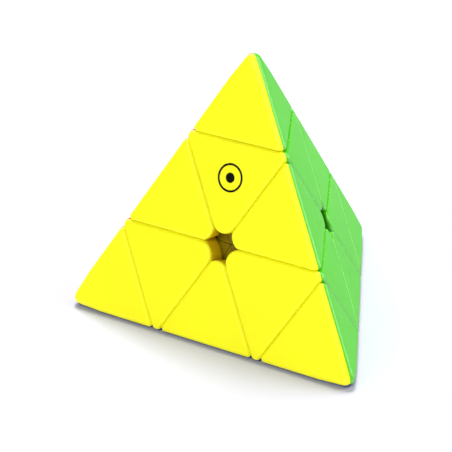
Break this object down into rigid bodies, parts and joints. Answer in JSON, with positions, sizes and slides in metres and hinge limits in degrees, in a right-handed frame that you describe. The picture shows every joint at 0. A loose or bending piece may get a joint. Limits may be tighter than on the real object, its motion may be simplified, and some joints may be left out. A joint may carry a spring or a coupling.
{
  "type": "pyramid twisty puzzle",
  "caption": "Tetrahedral twisty puzzle with turning corner layers and tips, coloured plastic faces with thin grooves, on an inner core.",
  "frame": {"origin": "centre of the core, where the four turning axes meet; it is the centroid of the whole puzzle", "axes": "+Z towards the top corner, -Y towards the side of the yellow face, +X towards the right corner of the yellow face; the blue face is the base"},
  "size_m": [0.0944, 0.083, 0.0783],
  "materials": {
    "yellow_plastic": "satin, moulded colour",
    "green_plastic": "satin, moulded colour",
    "red_plastic": "satin, moulded colour",
    "blue_plastic": "satin, moulded colour",
    "dark_plastic": "matte",
    "steel": "bright"
  },
  "bodies": {
    "core": {"core": "dark_plastic", "screw_top": "steel", "washer_top": "steel", "spring_top": "steel", "screw_left": "steel", "washer_left": "steel", "spring_left": "steel", "screw_right": "steel", "washer_right": "steel", "spring_right": "steel", "screw_back": "steel", "washer_back": "steel", "spring_back": "steel"},
    "centre_top": {"centre_hub_top": "dark_plastic", "centre_block_top_green": "green_plastic", "centre_block_top_red": "red_plastic", "centre_block_top_yellow": "yellow_plastic"},
    "centre_left": {"centre_hub_left": "dark_plastic", "centre_block_left_blue": "blue_plastic", "centre_block_left_red": "red_plastic", "centre_block_left_yellow": "yellow_plastic"},
    "centre_right": {"centre_hub_right": "dark_plastic", "centre_block_right_blue": "blue_plastic", "centre_block_right_green": "green_plastic", "centre_block_right_yellow": "yellow_plastic"},
    "centre_back": {"centre_hub_back": "dark_plastic", "centre_block_back_blue": "blue_plastic", "centre_block_back_green": "green_plastic", "centre_block_back_red": "red_plastic"},
    "tip_top": {"tip_hub_top": "dark_plastic", "tip_shell_top_green": "green_plastic", "tip_shell_top_red": "red_plastic", "tip_shell_top_yellow": "yellow_plastic"},
    "tip_left": {"tip_hub_left": "dark_plastic", "tip_shell_left_blue": "blue_plastic", "tip_shell_left_red": "red_plastic", "tip_shell_left_yellow": "yellow_plastic"},
    "tip_right": {"tip_hub_right": "dark_plastic", "tip_shell_right_blue": "blue_plastic", "tip_shell_right_green": "green_plastic", "tip_shell_right_yellow": "yellow_plastic"},
    "tip_back": {"tip_hub_back": "dark_plastic", "tip_shell_back_blue": "blue_plastic", "tip_shell_back_green": "green_plastic", "tip_shell_back_red": "red_plastic"},
    "edge_top_left": {"edge_top_left_red": "red_plastic", "edge_top_left_yellow": "yellow_plastic"},
    "edge_top_right": {"edge_top_right_green": "green_plastic", "edge_top_right_yellow": "yellow_plastic"},
    "edge_top_back": {"edge_top_back_green": "green_plastic", "edge_top_back_red": "red_plastic"},
    "edge_left_right": {"edge_left_right_blue": "blue_plastic", "edge_left_right_yellow": "yellow_plastic"},
    "edge_left_back": {"edge_left_back_blue": "blue_plastic", "edge_left_back_red": "red_plastic"},
    "edge_right_back": {"edge_right_back_blue": "blue_plastic", "edge_right_back_green": "green_plastic"}
  },
  "joints": [
    {"name": "top_layer_turn", "type": "hinge", "parent": "core", "child": "centre_top", "pos_m": [0, 0, 0], "axis": [0, 0, 1], "range_deg": [-240, 120]},
    {"name": "left_layer_turn", "type": "hinge", "parent": "core", "child": "centre_left", "pos_m": [0, 0, 0], "axis": [-0.8165, -0.4714, -0.3333], "range_deg": [-240, 120]},
    {"name": "right_layer_turn", "type": "hinge", "parent": "core", "child": "centre_right", "pos_m": [0, 0, 0], "axis": [0.8165, -0.4714, -0.3333], "range_deg": [-240, 120]},
    {"name": "back_layer_turn", "type": "hinge", "parent": "core", "child": "centre_back", "pos_m": [0, 0, 0], "axis": [0, 0.9428, -0.3333], "range_deg": [-240, 120]},
    {"name": "top_tip_turn", "type": "hinge", "parent": "centre_top", "child": "tip_top", "pos_m": [0, 0, 0], "axis": [0, 0, 1], "continuous": true},
    {"name": "left_tip_turn", "type": "hinge", "parent": "centre_left", "child": "tip_left", "pos_m": [0, 0, 0], "axis": [-0.8165, -0.4714, -0.3333], "continuous": true},
    {"name": "right_tip_turn", "type": "hinge", "parent": "centre_right", "child": "tip_right", "pos_m": [0, 0, 0], "axis": [0.8165, -0.4714, -0.3333], "continuous": true},
    {"name": "back_tip_turn", "type": "hinge", "parent": "centre_back", "child": "tip_back", "pos_m": [0, 0, 0], "axis": [0, 0.9428, -0.3333], "continuous": true},
    {"name": "edge_top_left_carried", "type": "hinge", "parent": "centre_top", "child": "edge_top_left", "pos_m": [0, 0, 0], "axis": [-0.8165, -0.4714, -0.3333], "range_deg": [-240, 120]},
    {"name": "edge_top_right_carried", "type": "hinge", "parent": "centre_top", "child": "edge_top_right", "pos_m": [0, 0, 0], "axis": [0.8165, -0.4714, -0.3333], "range_deg": [-240, 120]},
    {"name": "edge_top_back_carried", "type": "hinge", "parent": "centre_top", "child": "edge_top_back", "pos_m": [0, 0, 0], "axis": [0, 0.9428, -0.3333], "range_deg": [-240, 120]},
    {"name": "edge_left_right_carried", "type": "hinge", "parent": "centre_left", "child": "edge_left_right", "pos_m": [0, 0, 0], "axis": [0.8165, -0.4714, -0.3333], "range_deg": [-240, 120]},
    {"name": "edge_left_back_carried", "type": "hinge", "parent": "centre_back", "child": "edge_left_back", "pos_m": [0, 0, 0], "axis": [-0.8165, -0.4714, -0.3333], "range_deg": [-240, 120]},
    {"name": "edge_right_back_carried", "type": "hinge", "parent": "centre_right", "child": "edge_right_back", "pos_m": [0, 0, 0], "axis": [0, 0.9428, -0.3333], "range_deg": [-240, 120]}
  ],
  "couplings": [
    {"joint": "edge_top_left_carried", "follows": "left_layer_turn", "ratio": 1},
    {"joint": "edge_top_right_carried", "follows": "right_layer_turn", "ratio": 1},
    {"joint": "edge_top_back_carried", "follows": "back_layer_turn", "ratio": 1},
    {"joint": "edge_left_right_carried", "follows": "right_layer_turn", "ratio": 1},
    {"joint": "edge_left_back_carried", "follows": "left_layer_turn", "ratio": 1},
    {"joint": "edge_right_back_carried", "follows": "back_layer_turn", "ratio": 1}
  ]
}
